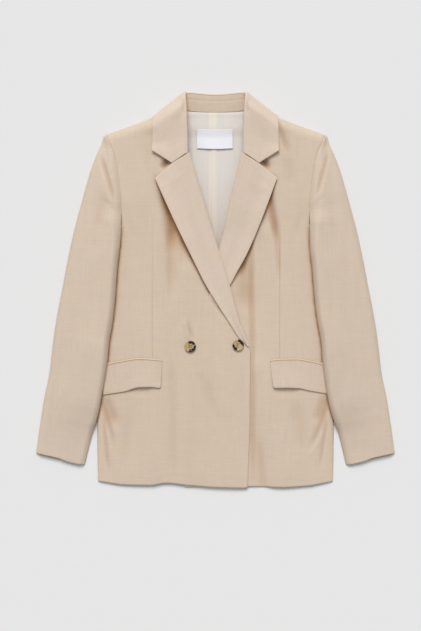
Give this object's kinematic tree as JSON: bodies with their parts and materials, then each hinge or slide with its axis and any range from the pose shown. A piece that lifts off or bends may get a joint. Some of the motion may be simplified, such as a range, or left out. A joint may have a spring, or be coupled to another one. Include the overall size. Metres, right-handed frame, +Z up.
{
  "type": "double-breasted blazer",
  "caption": "Long-sleeved double-breasted blazer lying flat and buttoned, with a notched collar, wide lapels, flap pockets and horn-look buttons.",
  "frame": {"origin": "on the ground under the middle of the laid blazer", "axes": "+Z up from the ground through the back and then the fronts, +Y to the neck, +X to the wearer's left side"},
  "size_m": [0.663, 0.7303, 0.035],
  "materials": {
    "shell_linen": "matt plain-weave linen look, sand beige",
    "sleeve_linen": "matt plain-weave linen look, sand beige",
    "facing_linen": "matt plain-weave linen look, pressed, a shade lighter",
    "stand_linen": "matt plain-weave linen look",
    "lining_cloth": "smooth light lining with a faint sheen",
    "label_cloth": "white woven satin, bare",
    "button_horn": "polished horn look, tan with dark brown patches"
  },
  "bodies": {
    "root": {"back": "shell_linen", "back_lining": "lining_cloth", "neck_label": "label_cloth", "front_right": "shell_linen", "front_left": "shell_linen", "lapel_right": "facing_linen", "lapel_left": "facing_linen", "collar_fall": "facing_linen", "collar_stand": "stand_linen", "sleeve_right_top": "sleeve_linen", "sleeve_right_under": "sleeve_linen", "sleeve_left_top": "sleeve_linen", "sleeve_left_under": "sleeve_linen", "pocket_flap_right": "facing_linen", "pocket_flap_left": "facing_linen", "pocket_jet_right": "shell_linen", "pocket_jet_left": "shell_linen", "button_inner": "button_horn", "button_edge": "button_horn"}
  },
  "joints": []
}
